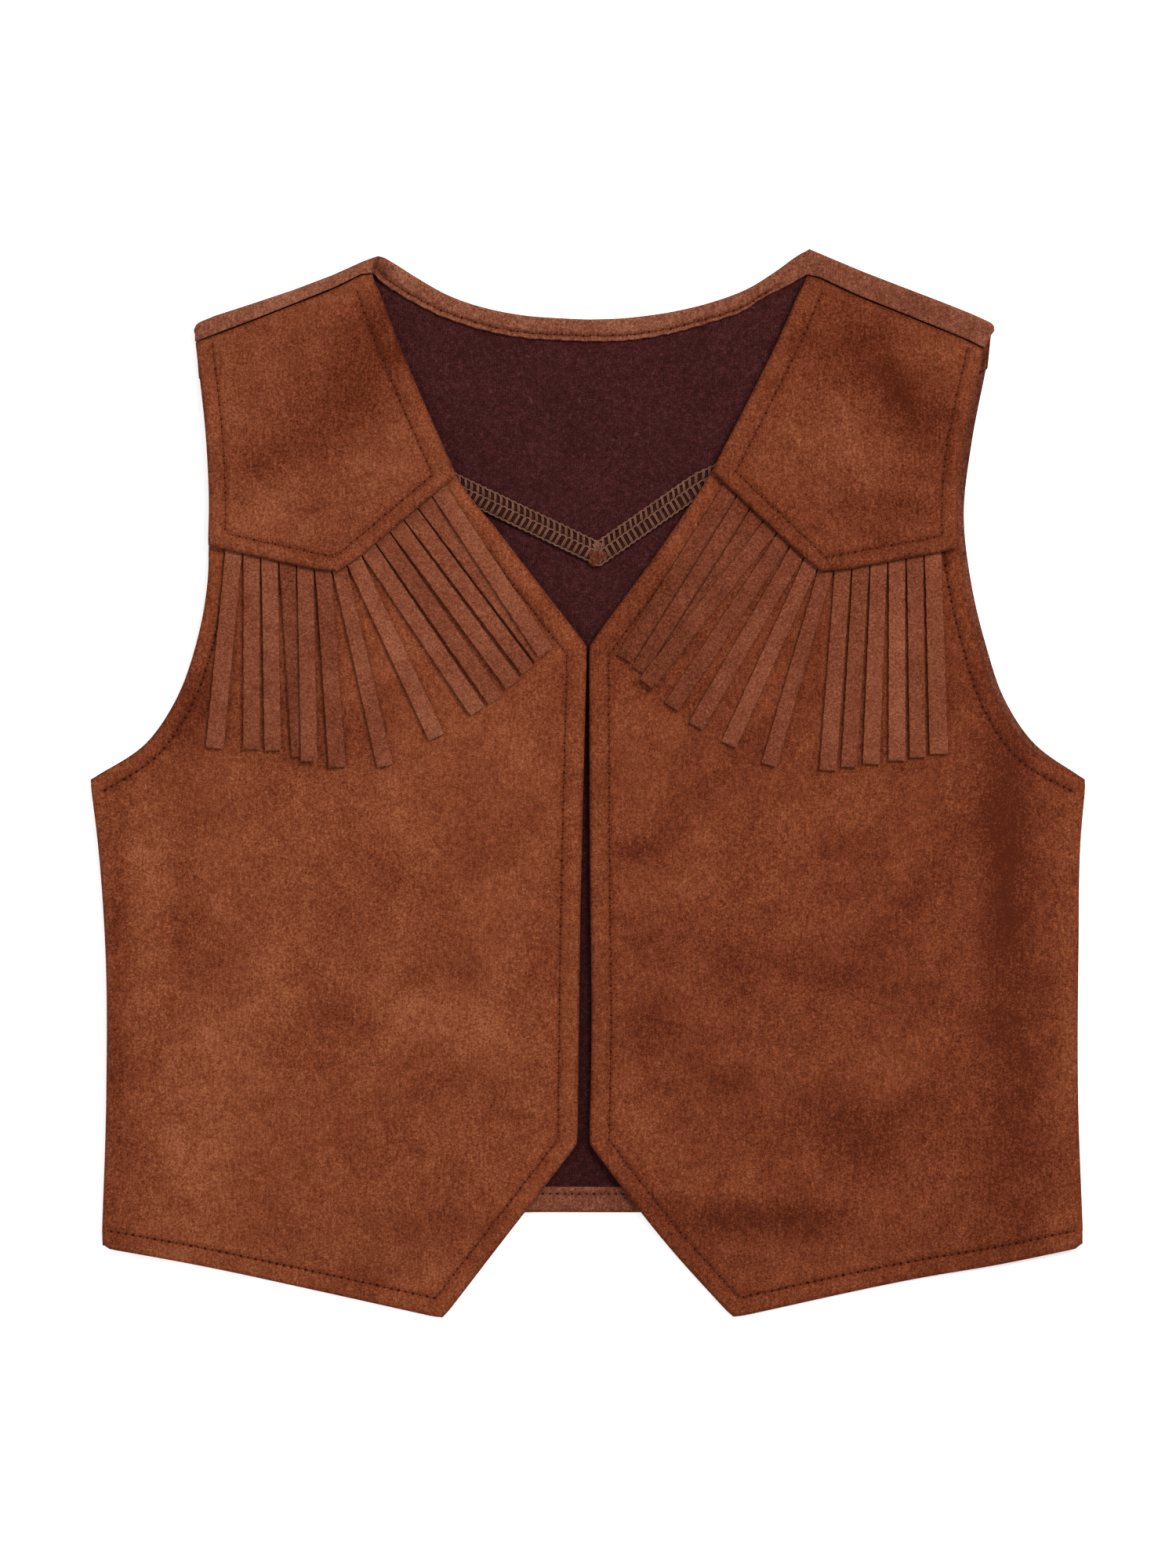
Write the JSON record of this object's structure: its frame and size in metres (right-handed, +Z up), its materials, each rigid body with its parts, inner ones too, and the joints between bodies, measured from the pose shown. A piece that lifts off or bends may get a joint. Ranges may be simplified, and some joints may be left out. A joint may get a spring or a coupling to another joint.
{
  "type": "western vest",
  "caption": "Open-front western vest of suede cloth laid flat: pointed yokes, fringe on both sides of the chest, pointed front hems.",
  "frame": {"origin": "centre of the bounding box's underside, on the surface that the vest lies on", "axes": "+Z up out of the surface through the fronts, +Y from the hem towards the shoulders, +X towards the wearer's left"},
  "size_m": [0.3803, 0.4091, 0.0085],
  "materials": {
    "suede": "short napped brown suede cloth, mottled, matt with a soft sheen",
    "fringe_suede": "the same suede cloth cut into strands, matt",
    "backing": "matt dark maroon knit, the inner face of the cloth"
  },
  "bodies": {
    "root": {"back": "backing", "back_yoke": "suede", "back_seam_allowance": "backing", "front_right": "suede", "front_left": "suede", "front_yoke_right": "suede", "front_yoke_left": "suede", "fringe_right": "fringe_suede", "fringe_left": "fringe_suede"}
  },
  "joints": []
}
